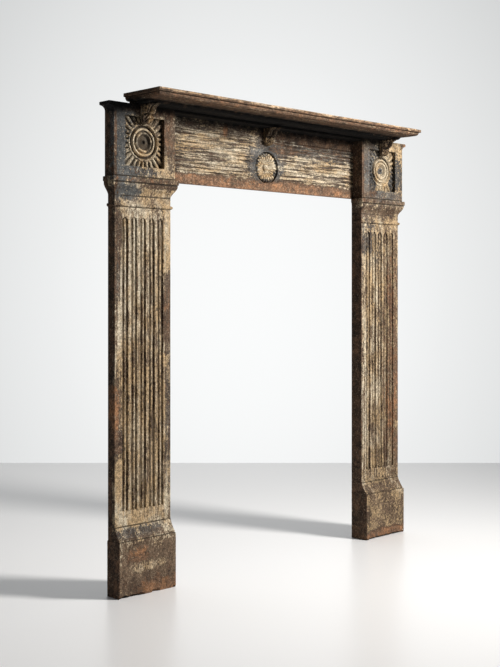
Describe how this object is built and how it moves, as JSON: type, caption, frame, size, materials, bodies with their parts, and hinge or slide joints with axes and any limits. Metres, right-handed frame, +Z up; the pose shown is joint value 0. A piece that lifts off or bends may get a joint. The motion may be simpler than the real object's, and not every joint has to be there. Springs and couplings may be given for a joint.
{
  "type": "fireplace surround",
  "caption": "Free-standing cast-iron fireplace surround with fluted jambs, roundel corner blocks, a reeded frieze with a sunk patera, and a moulded shelf on leaf brackets.",
  "frame": {"origin": "floor level, in the middle of the overall width and depth", "axes": "+Z up from the floor, +X from the left jamb to the right jamb, +Y from the front to the wall"},
  "size_m": [1.313, 0.1798, 1.4],
  "materials": {
    "jamb_left_paint": "flaking cream and slate paint over rusty cast iron",
    "jamb_right_paint": "flaking cream and slate paint over rusty cast iron",
    "frieze_paint": "flaking cream paint over rusty cast iron",
    "shelf_paint": "worn tan paint over brown rusty cast iron",
    "bracket_left_paint": "worn brown paint over rusty cast iron",
    "bracket_centre_paint": "worn brown paint over rusty cast iron",
    "bracket_right_paint": "worn brown paint over rusty cast iron"
  },
  "bodies": {
    "root": {"jamb_left": "jamb_left_paint", "jamb_right": "jamb_right_paint", "frieze": "frieze_paint", "shelf": "shelf_paint", "bracket_left": "bracket_left_paint", "bracket_centre": "bracket_centre_paint", "bracket_right": "bracket_right_paint"}
  },
  "joints": []
}
